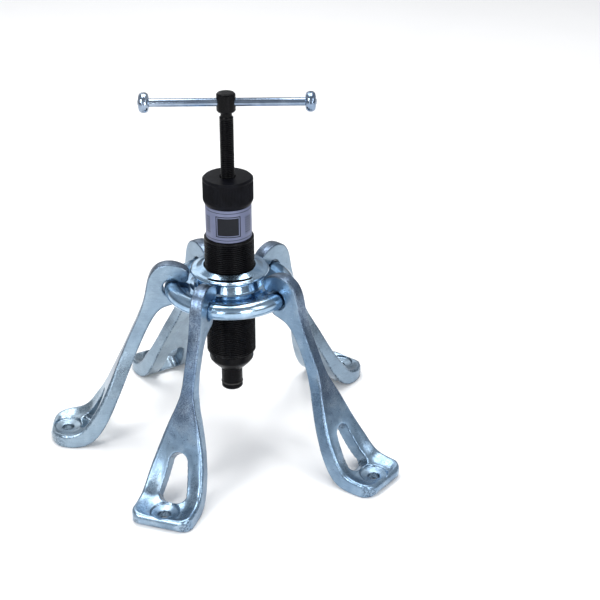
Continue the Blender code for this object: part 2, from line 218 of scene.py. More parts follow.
class Nodes:
    """A small wrapper to wire a material's nodes."""

    def __init__(self, name, local=False):
        self.mat = bpy.data.materials.new(name)
        self.mat.use_nodes = True
        self.tree = self.mat.node_tree
        self.shader = self.tree.nodes["Principled BSDF"]
        if local:
            self.source = self.attribute("local", "Vector")
        else:
            self.source = self.tree.nodes.new("ShaderNodeTexCoord").outputs["Object"]

    def attribute(self, name, output="Fac"):
        node = self.tree.nodes.new("ShaderNodeAttribute")
        node.attribute_name = name
        return node.outputs[output]

    def link(self, a, b):
        self.tree.links.new(a, b)

    def mapped(self, scale=(1, 1, 1)):
        node = self.tree.nodes.new("ShaderNodeMapping")
        node.inputs["Scale"].default_value = scale
        self.link(self.source, node.inputs["Vector"])
        return node.outputs["Vector"]

    def noise(self, scale, detail=4.0, rough=0.55, stretch=(1, 1, 1), distortion=0.0):
        node = self.tree.nodes.new("ShaderNodeTexNoise")
        node.inputs["Scale"].default_value = scale
        node.inputs["Detail"].default_value = detail
        node.inputs["Roughness"].default_value = rough
        node.inputs["Distortion"].default_value = distortion
        self.link(self.mapped(stretch), node.inputs["Vector"])
        return node.outputs["Fac"]

    def ramp(self, fac, stops):
        node = self.tree.nodes.new("ShaderNodeValToRGB")
        el = node.color_ramp.elements
        while len(el) < len(stops):
            el.new(0.5)
        for e, (at, colour) in zip(el, stops):
            e.position = at
            if not isinstance(colour, tuple):
                colour = (colour, colour, colour)
            e.color = (*colour, 1.0)
        self.link(fac, node.inputs["Fac"])
        return node.outputs["Color"]

    def mix(self, fac, a, b, blend="MIX"):
        node = self.tree.nodes.new("ShaderNodeMix")
        node.data_type = "RGBA"
        node.blend_type = blend
        for value, at in ((fac, "Factor"), (a, "A"), (b, "B")):
            socket = next(s for s in node.inputs if s.name == at and s.enabled)
            if hasattr(value, "is_linked"):
                self.link(value, socket)
            elif isinstance(value, tuple):
                socket.default_value = (*value, 1.0)
            else:
                socket.default_value = value
        return next(s for s in node.outputs if s.enabled)

    def math(self, op, a, b=None, clamp=False):
        node = self.tree.nodes.new("ShaderNodeMath")
        node.operation = op
        node.use_clamp = clamp
        for i, value in enumerate((a, b)):
            if value is None:
                continue
            if hasattr(value, "is_linked"):
                self.link(value, node.inputs[i])
            else:
                node.inputs[i].default_value = value
        return node.outputs[0]

    def bump(self, height, strength, distance, normal=None):
        node = self.tree.nodes.new("ShaderNodeBump")
        node.inputs["Strength"].default_value = strength
        node.inputs["Distance"].default_value = distance
        self.link(height, node.inputs["Height"])
        if normal is not None:
            self.link(normal, node.inputs["Normal"])
        return node.outputs["Normal"]

    def edges(self):
        return self.tree.nodes.new("ShaderNodeNewGeometry").outputs["Pointiness"]


def zinc(name, dark, mid, light, rough, grain, cast=0.0, lathe=False, edge=0.35, local=False, far=None):
    """Blue-passivated zinc plate: cloudy tint, fine speckle, grainy worn edges, painted shade in the hollows; on the
    legs also painted shade and light by face and place.
    """
    m = Nodes(name, local)
    clouds = m.noise(64.0, 5.0, 0.6, distortion=0.4)
    colour = m.ramp(clouds, [(0.30, dark), (0.50, mid), (0.74, light)])
    speckle = m.noise(1300.0, 3.0, 0.65)
    spots = m.ramp(speckle, [(0.40, 1.0), (0.58, 0.0)])
    colour = m.mix(m.math("MULTIPLY", spots, 0.12 + grain * 0.6), colour, dark)
    tint = m.ramp(m.noise(22.0, 2.0, 0.5), [(0.42, 0.0), (0.66, 1.0)])
    colour = m.mix(m.math("MULTIPLY", tint, 0.40), colour, (mid[0] * 0.78, mid[1] * 0.95, min(1.0, mid[2] * 1.12)))
    worn = m.ramp(m.edges(), [(0.505, 0.0), (0.56, 1.0)])
    # Painted shade: hollows and creases, found by low pointiness, are darkened.
    painted_cavity_shade = m.ramp(m.edges(), [(0.43, 1.0), (0.49, 0.0)])
    if local:
        side = m.ramp(m.attribute("side"), [(0.35, 0.0), (0.85, 1.0)])
        low = m.ramp(m.attribute("low"), [(0.50, 0.0), (0.70, 1.0)])
        # Painted light: legs further back are turned greyer and legs further left lighter, as the studio light shows
        # them.
        place = m.tree.nodes.new("ShaderNodeSeparateXYZ")
        m.link(m.tree.nodes.new("ShaderNodeTexCoord").outputs["Object"], place.inputs[0])
        behind_painted_light = m.math("MULTIPLY_ADD", place.outputs[1], 12.0, clamp=True)
        left_painted_light = m.math("MULTIPLY_ADD", place.outputs[0], -12.0, clamp=True)
        left_painted_light.node.inputs[2].default_value = -0.35
        colour = m.mix(m.math("MULTIPLY", behind_painted_light, 0.50), colour, (0.285, 0.330, 0.355))
        colour = m.mix(m.math("MULTIPLY", left_painted_light, 0.45), colour, (0.430, 0.510, 0.540))
        brushed = m.noise(1.0, 3.0, 0.6, stretch=(110.0, 600.0, 900.0))
        steel = m.ramp(brushed, [(0.30, tuple(v * 0.74 for v in mid)), (0.70, tuple(v * 1.06 for v in mid))])
        upper = m.math("SUBTRACT", 1.0, low)
        colour = m.mix(m.math("MULTIPLY", side, 0.40), colour, steel)
        outer = m.ramp(m.attribute("outer"), [(0.30, 0.0), (0.62, 1.0)])
        mottle = m.ramp(m.noise(1150.0, 4.0, 0.75), [(0.42, 0.30), (0.58, 1.0)])
        # Painted shade: the outer faces higher up the shank are darkened towards navy through a mottled mask.
        shank = m.math("MULTIPLY", m.math("MULTIPLY", outer, upper), mottle)
        colour = m.mix(m.math("MULTIPLY", shank, 0.86), colour, (0.070, 0.096, 0.160))
        grit = m.ramp(m.noise(680.0, 4.0, 0.75), [(0.47, 0.0), (0.54, 1.0)])
        worn = m.ramp(m.attribute("side"), [(0.14, 0.0), (0.36, 1.0), (0.90, 1.0), (0.985, 0.0)])
        colour = m.mix(m.math("MULTIPLY", m.math("MULTIPLY", grit, worn), 0.72), colour, tuple(v * 0.40 for v in dark))
        # Painted light: the outer faces lower down the leg and on the foot's upper dish are lightened.
        painted_light_plate = m.math("MULTIPLY", outer, low)
        colour = m.mix(m.math("MULTIPLY", painted_light_plate, 0.22), colour, (light[0] * 0.72, light[1] * 0.86, light[2] * 0.98))
    else:
        colour = m.mix(m.math("MULTIPLY", worn, edge), colour, light)
    # Painted shade laid into the hollows.
    colour = m.mix(m.math("MULTIPLY", painted_cavity_shade, 0.60), colour, (dark[0] * 0.35, dark[1] * 0.38, dark[2] * 0.42))
    m.link(colour, m.shader.inputs["Base Color"])
    m.shader.inputs["Metallic"].default_value = 1.0
    streak = m.noise(240.0, 3.0, 0.6)
    r = m.math("MULTIPLY_ADD", speckle, 0.20 * (0.4 + grain))
    r.node.inputs[2].default_value = rough - 0.13
    r = m.math("ADD", r, m.math("MULTIPLY", streak, 0.16), clamp=True)
    if far is not None:
        split = m.tree.nodes.new("ShaderNodeSeparateXYZ")
        m.link(m.source, split.inputs[0])
        square = m.math("ADD", m.math("MULTIPLY", split.outputs[0], split.outputs[0]),
                        m.math("MULTIPLY", split.outputs[1], split.outputs[1]))
        reach = m.ramp(m.math("MULTIPLY", m.math("SQRT", square), 20.0), [(0.62, 0.0), (0.80, 1.0)])
        r = m.math("MULTIPLY_ADD", reach, far)
        m.link(m.math("ADD", m.math("MULTIPLY", speckle, 0.20 * (0.4 + grain)), m.math("MULTIPLY", streak, 0.16)), r.node.inputs[2])
        r = m.math("ADD", r, rough - 0.13, clamp=True)
    m.link(r, m.shader.inputs["Roughness"])
    normal = m.bump(m.noise(900.0, 4.0, 0.7), 0.16 + 0.7 * grain, 0.00014)
    if cast:
        normal = m.bump(m.noise(230.0, 3.0, 0.5), cast, 0.0005, normal)
    if lathe:
        lines = m.noise(1.0, 2.0, 0.5, stretch=(20.0, 20.0, 3800.0))
        normal = m.bump(lines, 0.08, 0.00005, normal)
    m.link(normal, m.shader.inputs["Normal"])
    return m.mat


def black_oxide(name, base, sheen, rough, lathe=True, along=False, gloss=0.07):
    """Black-oxide steel, slightly oiled: patchy roughness, faint brown-blue cast, worn crests."""
    m = Nodes(name)
    clouds = m.noise(110.0, 5.0, 0.6, distortion=0.5)
    colour = m.ramp(clouds, [(0.32, base), (0.70, sheen)])
    worn = m.ramp(m.edges(), [(0.505, 0.0), (0.58, 1.0)])
    colour = m.mix(m.math("MULTIPLY", worn, 0.05), colour, (0.045, 0.046, 0.058))
    dust = m.ramp(m.noise(2600.0, 2.0, 0.6), [(0.66, 0.0), (0.74, 1.0)])
    colour = m.mix(m.math("MULTIPLY", dust, 0.06), colour, (0.07, 0.07, 0.08))
    m.link(colour, m.shader.inputs["Base Color"])
    m.shader.inputs["Metallic"].default_value = 0.0
    m.shader.inputs["Specular IOR Level"].default_value = gloss
    patch = m.noise(190.0, 4.0, 0.6)
    r = m.math("MULTIPLY_ADD", patch, 0.28)
    r.node.inputs[2].default_value = rough - 0.14
    m.link(r, m.shader.inputs["Roughness"])
    normal = m.bump(m.noise(1400.0, 3.0, 0.6), 0.22, 0.00008)
    if lathe:
        stretch = (900.0, 900.0, 6.0) if along else (10.0, 10.0, 3000.0)
        normal = m.bump(m.noise(1.0, 2.0, 0.5, stretch=stretch), 0.12, 0.00005, normal)
    m.link(normal, m.shader.inputs["Normal"])
    return m.mat


def simple_metal(name, dark, light, rough, metallic=1.0):
    m = Nodes(name)
    colour = m.ramp(m.noise(120.0, 4.0), [(0.35, dark), (0.7, light)])
    m.link(colour, m.shader.inputs["Base Color"])
    m.shader.inputs["Metallic"].default_value = metallic
    r = m.math("MULTIPLY_ADD", m.noise(400.0, 3.0), 0.2)
    r.node.inputs[2].default_value = rough - 0.1
    m.link(r, m.shader.inputs["Roughness"])
    m.link(m.bump(m.noise(1600.0, 3.0), 0.15, 0.00006), m.shader.inputs["Normal"])
    return m.mat


def rubber(name):
    m = Nodes(name)
    colour = m.ramp(m.noise(300.0, 4.0), [(0.3, (0.012, 0.012, 0.012)), (0.75, (0.035, 0.034, 0.033))])
    m.link(colour, m.shader.inputs["Base Color"])
    r = m.math("MULTIPLY_ADD", m.noise(700.0, 3.0), 0.3)
    r.node.inputs[2].default_value = 0.40
    m.link(r, m.shader.inputs["Roughness"])
    m.link(m.bump(m.noise(2500.0, 2.0), 0.2, 0.00006), m.shader.inputs["Normal"])
    return m.mat


def label_print(name):
    """A silver foil sleeve with two hairlines and a plain dark panel. It carries no letters."""
    m = Nodes(name)
    split = m.tree.nodes.new("ShaderNodeSeparateXYZ")
    m.link(m.source, split.inputs[0])
    x, y, z = split.outputs
    silver = m.ramp(m.noise(60.0, 4.0), [(0.35, (0.125, 0.142, 0.225)), (0.7, (0.170, 0.190, 0.285))])
    ink = (0.009, 0.010, 0.014)

    def band(value, middle, half):
        off = m.math("ABSOLUTE", m.math("SUBTRACT", value, middle))
        return m.math("LESS_THAN", off, half)

    turn = m.math("ARCTAN2", x, m.math("MULTIPLY", y, -1.0))
    lines = m.math("MAXIMUM", band(z, 0.1556, 0.00022), band(z, 0.1338, 0.00022))
    panel = m.math("MULTIPLY", band(z, 0.1446, 0.0084), band(turn, 0.02, 0.56))
    gap = m.math("MULTIPLY", band(z, 0.1446, 0.0077), band(turn, 0.02, 0.515))
    inner = m.math("MULTIPLY", band(z, 0.1446, 0.0070), band(turn, 0.02, 0.475))
    block = m.math("MAXIMUM", m.math("SUBTRACT", panel, gap), inner)
    sides = m.math("MAXIMUM", band(turn, 1.02, 0.20), band(turn, -1.02, 0.16))
    small = m.math("MULTIPLY", sides, band(z, 0.1446, 0.0074))
    wave = m.math("FRACT", m.math("MULTIPLY", z, 520.0))
    small = m.math("MULTIPLY", small, m.math("LESS_THAN", wave, 0.42))
    mark = m.math("MAXIMUM", m.math("MAXIMUM", lines, block), small, clamp=True)
    worn = m.ramp(m.noise(900.0, 3.0), [(0.60, 1.0), (0.74, 0.95)])
    colour = m.mix(m.math("MULTIPLY", mark, worn), silver, ink)
    m.link(colour, m.shader.inputs["Base Color"])
    plain = m.math("SUBTRACT", 1.0, mark)
    m.link(m.math("MULTIPLY", plain, 0.25), m.shader.inputs["Metallic"])
    m.shader.inputs["Specular IOR Level"].default_value = 0.12
    r = m.math("MULTIPLY_ADD", m.noise(220.0, 4.0), 0.22)
    r.node.inputs[2].default_value = 0.34
    m.link(r, m.shader.inputs["Roughness"])
    m.link(m.bump(m.noise(800.0, 2.0), 0.08, 0.00006), m.shader.inputs["Normal"])
    return m.mat


# ---- the yoke ----------------------------------------------------------------


def make_yoke(mat):
    profile = [
        (BORE_R, 106.3, 0.3),
        (BORE_R + 0.8, 107.0, 0.3),
        (21.2, 106.9, 1.0),
        (25.6, 104.9, 1.6),
        (28.6, 104.6, 1.0),
        (29.9, 103.9, 0.8),
        (30.3, 102.8, 0.9),
        (29.8, 101.7, 0.9),
        (28.4, 101.1, 0.6),
        (25.8, 100.6, 1.0),
        (24.7, 99.0, 1.2),
        (25.9, 95.0, 1.5),
        (26.5, 93.3, 0.5),
        (27.8, 92.1, 1.2),
        (31.0, 91.2, 3.0),
        (35.4, 91.0, 3.0),
        (38.3, 91.5, 1.2),
    ]
    rim = [(r, z, 0) for r, z in arc(RIM_R, RIM_Z, RIM_BAR, 137, -155, 44)]
    profile = profile + rim + [
        (35.5, 84.9, 1.5),
        (29.5, 84.7, 2.5),
        (26.4, 83.4, 2.0),
        (25.2, 81.0, 2.0),
        (25.0, 77.2, 0.4),
        (23.8, 76.0, 0.4),
        (BORE_R + 1.0, 76.0, 0.3),
        (BORE_R, 77.0, 0.3),
    ]
    pts = rounded(profile, closed=True, count=5)
    obj = turned("yoke_forging", pts, 224, mat, closed=True, angle=50.0)
    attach(obj, "yoke")
    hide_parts("yoke")


# ---- the ram -----------------------------------------------------------------


def thread_wave(phase):
    """Depth share of a truncated V thread: 0 on the crest, 1 at the root."""
    phase = phase % 1.0
    if phase < 0.12 or phase > 0.88:
        return 0.0
    if 0.44 < phase < 0.56:
        return 1.0
    return (phase - 0.12) / 0.32 if phase < 0.5 else (0.88 - phase) / 0.32


def threaded(z0, z1, pitch, depth, fade=1.6, hand=1.0):
    def shape(r, z, turn, _):
        if not z0 <= z <= z1:
            return r
        full = depth * min(1.0, (z - z0) / fade, (z1 - z) / fade)
        return r - full * thread_wave(z / pitch - hand * turn / (2 * math.pi))
    return shape


def make_ram(oxide, thread_oxide, cap_oxide, label, rod, seal):
    z0, z1 = THREAD_Z
    wave = threaded(z0 + 0.9, z1 - 0.9, THREAD_PITCH, 0.86)
    outer = rows(THREAD_R, z1 - 0.8, z0 + 0.9, THREAD_PITCH / 8)
    body = (
        rounded([(6.1, 79.5), (6.1, 161.5), (8.3, 161.5), (8.3, 173.0), (13.2, 173.0), (14.0, 172.2),
                 (14.0, 158.0), (16.7, 158.0), (16.7, z1), (THREAD_R - 0.7, z1)], radius=0.2, count=2)
        + outer
        + rounded([(THREAD_R - 1.0, z0), (14.8, z0), (14.8, 41.3), (12.6, 41.3), (12.6, 79.5)], radius=0.2, count=2)
    )
    mark = len(body)
    obj = turned("ram_barrel", body, 112, thread_oxide, closed=True,
                 shape=lambda r, z, t, k: wave(r, z, t, k) if abs(r - THREAD_R) < 1e-6 else r, angle=60.0)
    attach(obj, "ram"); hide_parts("ram_body")

    c0, c1 = CAP_Z
    k0, k1 = c0 + 2.9, c1 - 1.4
    teeth = 104
    def knurl(r, z, t, k):
        if abs(r - CAP_R) > 1e-6 or not k0 - 0.01 <= z <= k1 + 0.01:
            return r
        ends = min(1.0, (z - k0) / 0.7 + 0.05, (k1 - z) / 0.7 + 0.05)
        return r - 0.34 * ends * abs(2 * ((t * teeth / (2 * math.pi)) % 1.0) - 1)
    cap = (
        rounded([(5.7, 173.3), (5.7, c1 - 0.7, 0.2), (6.3, c1, 0.2), (6.6, c1, 0.1)], radius=0.2, count=3)
        + rounded([(8.0, c1), (CAP_R - 1.5, c1, 0.5), (CAP_R, k1, 0)], radius=0.3)
        + rows(CAP_R, k1 - 0.35, k0 + 0.35, 0.9)
        + rounded([(CAP_R, k0, 0), (CAP_R - 1.2, c0, 0.4), (14.3, c0, 0.2), (14.3, 173.3)], radius=0.3)
    )
    obj = turned("ram_knurled_cap", cap, teeth * 4, cap_oxide, closed=True, shape=knurl, angle=50.0)
    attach(obj, "ram"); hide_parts("ram_cap")

    band = rounded([(17.0, 131.8), (17.5, 131.8, 0.12), (17.5, 157.7, 0.12), (17.0, 157.7)], closed=True, radius=0.05, count=2)
    obj = turned("label_sleeve", band, 128, label, closed=True)
    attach(obj, "ram"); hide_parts("label_band")

    gland = [
        (8.6, 19.5, 0.2), (9.2, 18.9, 0.2), (10.2, 18.9, 0.5), (15.0, 24.0, 1.6), (16.9, 26.6, 1.2), (17.25, 27.9, 0.8),
        (17.25, 32.3, 0.3), (16.6, 33.2, 0.3), (14.5, 33.2, 0.1), (14.5, 41.0), (8.6, 41.0), (8.6, 29.6), (10.9, 29.6),
        (10.9, 26.6), (8.6, 26.6),
    ]
    obj = turned("gland_nut_coned", rounded(gland, closed=True, radius=0.15, count=3), 128, oxide, closed=True)
    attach(obj, "ram"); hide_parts("gland_nut")

    piston = rounded([
        (0, 0), (ROD_R - 0.9, 0, 0.4), (ROD_R, 0.9, 0.4), (ROD_R, 3.9, 0.15), (7.25, 3.9, 0.15), (7.25, 5.9, 0.15),
        (ROD_R, 5.9, 0.15), (ROD_R, 64.3, 0.2), (PISTON_R, 64.3, 0.3), (PISTON_R, 67.0, 0.1), (9.8, 67.0, 0.1),
        (9.8, 72.2, 0.1), (PISTON_R, 72.2, 0.1), (PISTON_R, 74.4, 0.3), (11.7, 75.0, 0.3), (0, 75.0)], radius=0.2, count=3)
    obj = turned("ram_rod_and_nose", piston, 96, rod)
    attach(obj, "piston"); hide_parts("ram_piston")
    obj = turned("nose_groove_ring", arc(8.05, 4.9, 0.62, 0, 337.5, 16), 96, seal, closed=True)
    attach(obj, "piston"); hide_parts("nose_ring")


def make_spring(mat):
    """The ram's return spring."""
    turns, mean, wire, low, high = 5.5, 10.4, 0.95, 42.4, 62.9
    count, around = int(turns * 36), 12
    path = []
    for i in range(count + 1):
        share = i / count
        a = 2 * math.pi * turns * share
        rise = share - math.sin(2 * math.pi * share) / (2 * math.pi) * 0.55
        path.append(Vector((mean * math.cos(a), mean * math.sin(a), low + (high - low) * rise)))
    bm = bmesh.new()
    rings = []
    for i, p in enumerate(path):
        way = (path[min(i + 1, count)] - path[max(i - 1, 0)]).normalized()
        out = Vector((p.x, p.y, 0)).normalized()
        up = way.cross(out).normalized()
        out = up.cross(way)
        ring = []
        for k in range(around):
            t = 2 * math.pi * k / around
            q = p + (out * math.cos(t) + up * math.sin(t)) * wire
            ring.append(bm.verts.new((q.x * MM, q.y * MM, q.z * MM)))
        rings.append(ring)
    for a, b in zip(rings, rings[1:]):
        for k in range(around):
            bm.faces.new((a[k], a[(k + 1) % around], b[(k + 1) % around], b[k]))
    bm.faces.new(rings[0])
    bm.faces.new(rings[-1])
    obj = add(mesh_from(bm, "return_spring_coil"), "return_spring_coil", mat)
    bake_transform(obj)
    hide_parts("return_spring")


def make_screw(oxide, bright):
    s0, s1 = SCREW_Z
    h0, h1 = HEAD_Z
    wave = threaded(s0 + 1.0, s1 - 0.6, SCREW_PITCH, 0.72, 1.2)
    profile = (
        [(0, s0), (SCREW_R - 1.1, s0)]
        + rows(SCREW_R, s0 + 1.1, s1 - 0.2, SCREW_PITCH / 7)
        + rounded([(SCREW_R, s1), (NECK_R, s1 + 0.9, 0.5), (NECK_R, h0, 0.4), (HEAD_R - 0.8, h0 + 0.5, 0.4), (HEAD_R, h0 + 1.5, 0.4),
                   (HEAD_R, h1 - 1.4, 0.5), (HEAD_R - 0.9, h1 - 0.3, 0.5), (HEAD_R - 2.6, h1, 0.8), (0, h1)], radius=0.3)
    )
    obj = turned("forcing_screw_turned", profile, 72, oxide,
                 shape=lambda r, z, t, k: wave(r, z, t, k) if abs(r - SCREW_R) < 1e-6 else r, angle=60.0)
    drill = turned("drill", [(0, -12), (3.5, -12), (3.5, 12), (0, 12)], 48, None)
    drill.matrix_world = bar_matrix()
    bpy.context.view_layer.update()
    cut(obj, drill)
    applied(obj, "forcing_screw_turned", 50.0)
    bpy.data.objects.remove(drill, do_unlink=True)
    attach(obj, "screw"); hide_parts("forcing_screw")

    x0, x1 = BAR_X
    bar = rounded([(0, x0), (1.5, x0 + 0.05, 0.6), (2.9, x0 + 0.8, 0.5), (BAR_R, x0 + 1.5, 0.4), (BAR_R, x1 - 1.5, 0.4),
                   (2.9, x1 - 0.8, 0.5), (1.5, x1 - 0.05, 0.6), (0, x1)], radius=0.3)
    obj = turned("tommy_bar_rod", bar, 64, bright)
    obj.data.transform(bar_matrix())
    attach(obj, "bar"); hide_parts("tommy_bar")
    k = KNOB_HALF
    knob = [(3.45, -k + 0.35, 0.15), (4.2, -k, 0.4), (6.2, -k + 0.55, 1.2), (7.25, -k + 1.9, 1.0), (KNOB_R, -0.9, 1.2), (KNOB_R, 0.9, 1.2),
            (7.25, k - 1.9, 1.0), (6.2, k - 0.55, 1.2), (4.2, k, 0.4), (3.45, k - 0.35, 0.15)]
    for name, node, x in (("bar_knob_left_domed", "bar_knob_left", KNOB_X[0]), ("bar_knob_right_domed", "bar_knob_right", KNOB_X[1])):
        obj = turned(name, rounded(knob, closed=True, count=5), 72, bright, closed=True, angle=60.0)
        obj.data.transform(bar_matrix(x))
        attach(obj, "bar"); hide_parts(node)


# ---- the legs ----------------------------------------------------------------


def leg_stations():
    bore = lambda degrees: polar(HOOK_BORE, degrees)
    pairs = [
        ((-13.0, 11.0), (-12.2, 6.6)),
        ((-12.4, 13.6), (-10.4, 4.9)),
        ((-9.8, 16.4), (-7.6, 4.5)),
        ((-5.2, 18.9), bore(134)),
        ((0.4, 20.2), bore(108)),
        ((6.0, 20.0), bore(82)),
        ((11.4, 17.9), bore(56)),
        ((15.6, 14.0), bore(30)),
        ((18.6, 8.4), bore(4)),
        ((20.4, 1.6), bore(-22)),
        ((21.7, -5.0), bore(-48)),
        ((23.2, -11.0), bore(-76)),
        ((24.8, -16.0), bore(-103)),
        ((25.8, -18.7), (-4.4, -7.9)),
        ((26.7, -21.0), (-5.0, -10.6)),
        ((27.6, -23.2), (-3.0, -13.0)),
        ((28.7, -25.8), (2.6, -14.7)),
        ((30.1, -29.0), (8.6, -17.2)),
        ((32.2, -33.6), (14.0, -22.6)),
        ((35.4, -40.6), (20.0, -33.2)),
        ((40.8, -52.6), (27.6, -49.8)),
        ((44.8, -61.6), (33.2, -62.8)),
        ((48.6, -70.4), (37.6, -73.0)),
        ((52.2, -78.6), (41.6, -82.4)),
        ((55.8, -86.6), (45.6, -91.6)),
        ((59.0, -93.0), (49.4, -100.0)),
        ((62.6, -99.2), (53.4, -108.2)),
        ((66.6, -105.0), (58.0, -116.2)),
        ((70.8, -111.2), (63.2, -123.0)),
        ((75.3, -116.0), (69.2, -127.9)),
        ((79.9, -118.5), (75.6, -130.3)),
        ((84.6, -119.6), (82.0, -131.0)),
        ((89.4, -120.0), (88.6, -131.0)),
        ((93.2, -120.1), (93.0, -131.0)),
        ((95.6, -120.3), (95.2, -131.0)),
        ((97.6, -120.8), (97.0, -130.9)),
        ((99.3, -121.7), (98.6, -130.6)),
        ((100.5, -123.0), (99.9, -130.0)),
        ((101.2, -124.4), (100.8, -129.0)),
        ((101.5, -125.8), (101.3, -127.8)),
    ]
    fine = []
    for i in range(len(pairs) - 1):
        four = [pairs[max(0, min(len(pairs) - 1, i + j))] for j in (-1, 0, 1, 2)]
        for s in range(4):
            t = s / 4
            point = []
            for side in (0, 1):
                p = [Vector(q[side]) for q in four]
                point.append(0.5 * (2 * p[1] + (p[2] - p[0]) * t + (2 * p[0] - 5 * p[1] + 4 * p[2] - p[3]) * t * t
                                    + (3 * p[1] - p[0] - 3 * p[2] + p[3]) * t ** 3))
            fine.append(point)
    fine.append([Vector(pairs[-1][0]), Vector(pairs[-1][1])])
    return fine


WIDTHS = ((-47.0, LEG_HALF), (-54.0, 5.6), (-63.0, 8.6), (-72.0, 12.2), (-81.0, 15.4), (-90.0, 18.2),
          (-99.0, 20.6), (-107.0, 22.2), (-114.0, 23.2), (-119.0, FOOT_HALF))


def half_width(u, w, toe):
    if u > TOE_U - toe:
        corner = (u - TOE_U + toe) / (toe + 0.1)
        lost = toe * (1 - math.sqrt(max(0.0, 1 - corner ** 2)))
        return half_width(TOE_U - toe, w, toe) - lost
    if u > 84 or w < WIDTHS[-1][0]:
        return FOOT_HALF
    for (wa, ha), (wb, hb) in zip(WIDTHS, WIDTHS[1:]):
        if wb <= w < wa:
            return ha + (hb - ha) * (wa - w) / (wa - wb)
    return LEG_HALF


def leg_section(half, depth, dish, foot):
    """Ring of (t, down): rounded corners, a crowned shank face or a dished plate face."""
    co = min(1.1 + 1.9 * smooth_step(half, 8, 18), 0.3 * depth)
    ci = min(1.0, 0.22 * depth)
    ring = []
    for k in range(6):
        a = math.radians(180 + 90 * k / 6)
        ring.append((-half + co + co * math.cos(a), co + co * math.sin(a)))
    top = half - co
    count = 26
    left = [(-top + 2 * top * k / count) for k in range(count + 1)]
    for t in left:
        edge = half - abs(t)
        sink = dish * smooth_step(edge, 0.8, 12.5) if dish else 0.0
        sink += 0.7 * (1 - foot) * (t / half) ** 2
        ring.append((t, sink))
    for k in range(1, 7):
        a = math.radians(270 + 90 * k / 6)
        ring.append((half - co + co * math.cos(a), co + co * math.sin(a)))
    sides = [co + (depth - ci - co) * k / 4 for k in range(1, 4)]
    ring += [(half, d) for d in sides]
    for k in range(5):
        a = math.radians(90 * k / 4)
        ring.append((half - ci + ci * math.cos(a), depth - ci + ci * math.sin(a)))
    ring += [((half - ci) * (1 - 2 * k / 12), depth) for k in range(1, 12)]
    for k in range(5):
        a = math.radians(90 + 90 * k / 4)
        ring.append((-half + ci + ci * math.cos(a), depth - ci + ci * math.sin(a)))
    ring += [(-half, d) for d in reversed(sides)]
    return ring


def leg_mesh(toe):
    bm = bmesh.new()
    rings = []
    for o, i in leg_stations():
        depth = (o - i).length
        e = (o - i) / depth
        half = half_width(o.x, o.y, toe)
        foot = smooth_step(-o.y, 66, 82) if o.x > 30 else 0.0
        dish = 0.0
        if o.x > 35:
            dish = DISH * smooth_step(-o.y, 86, 112) * (1 - smooth_step(o.x, 94.6, 99.9))
        ring = []
        for t, down in leg_section(half, depth, dish, foot):
            p = o - e * down
            ring.append(bm.verts.new((p.x * MM, t * MM, p.y * MM)))
        rings.append(ring)
    n = len(rings[0])
    for a, b in zip(rings, rings[1:]):
        for k in range(n):
            bm.faces.new((a[k], a[(k + 1) % n], b[(k + 1) % n], b[k]))
    bm.faces.new(rings[0])
    bm.faces.new(rings[-1])
    return mesh_from(bm, "forged_leg")


def slot_cutter():
    way, down = Vector((0.8, 0.6)), Vector((0.6, -0.8))
    q0, q1 = 107.0, 144.3
    top_r, low_half, corner = 7.3, 10.8, 6.6
    pts = arc(q0 + top_r, 0, top_r, 250, 110, 17)
    pts += arc(q1 - corner, low_half - corner, corner, 80, 0, 12)
    pts += arc(q1 - corner, -(low_half - corner), corner, 0, -80, 12)
    bm = bmesh.new()
    near, far = [], []
    for q, t in pts:
        for side, ring in ((-36.0, near), (9.0, far)):
            p = down * q + way * side
            ring.append(bm.verts.new((p.x * MM, t * MM, p.y * MM)))
    n = len(near)
    for k in range(n):
        bm.faces.new((near[k], near[(k + 1) % n], far[(k + 1) % n], far[k]))
    bm.faces.new(near)
    bm.faces.new(far)
    return add(mesh_from(bm, "slot"), "slot", None)


def mark_faces(mesh):
    """Keeps each point's place on the leg, and which face it lies on, for the plating's grain and wear and for the
    painted shade and light to follow.
    """
    n = len(mesh.vertices)
    co, normal = np.empty(n * 3, np.float32), np.empty(n * 3, np.float32)
    mesh.vertices.foreach_get("co", co)
    mesh.vertices.foreach_get("normal", normal)
    flat = co.reshape(-1, 3)[:, (0, 2)] / MM
    normal = normal.reshape(-1, 3)
    pairs = leg_stations()[::3]
    middle = np.array([[(o.x + i.x) / 2, (o.y + i.y) / 2] for o, i in pairs], np.float32)
    across = np.array([list((o - i).normalized()) for o, i in pairs], np.float32)
    best, index = np.full(n, 1e9, np.float32), np.zeros(n, np.int32)
    for k, c in enumerate(middle):
        gap = ((flat - c) ** 2).sum(axis=1)
        near = gap < best
        best[near], index[near] = gap[near], k
    e = across[index]
    facing = normal[:, 0] * e[:, 0] + normal[:, 2] * e[:, 1]
    held = {"outer": np.clip(facing, 0, 1), "side": np.abs(normal[:, 1]), "low": np.clip(-flat[:, 1] / 131.0, 0, 1)}
    for name, values in held.items():
        mesh.attributes.new(name, "FLOAT", "POINT").data.foreach_set("value", values.astype(np.float32))
    mesh.attributes.new("local", "FLOAT_VECTOR", "POINT").data.foreach_set("vector", co)


def keep_inside(mesh):
    """Trims the few points that the skin carries past the solid's box, by a tenth or two of a millimetre."""
    co = np.empty(len(mesh.vertices) * 3, np.float32)
    mesh.vertices.foreach_get("co", co)
    low, high = np.array(CAD_BOX[0]) + 2e-5, np.array(CAD_BOX[1]) - 2e-5
    mesh.vertices.foreach_set("co", np.clip(co.reshape(-1, 3), low, high).astype(np.float32).ravel())
    mesh.update()


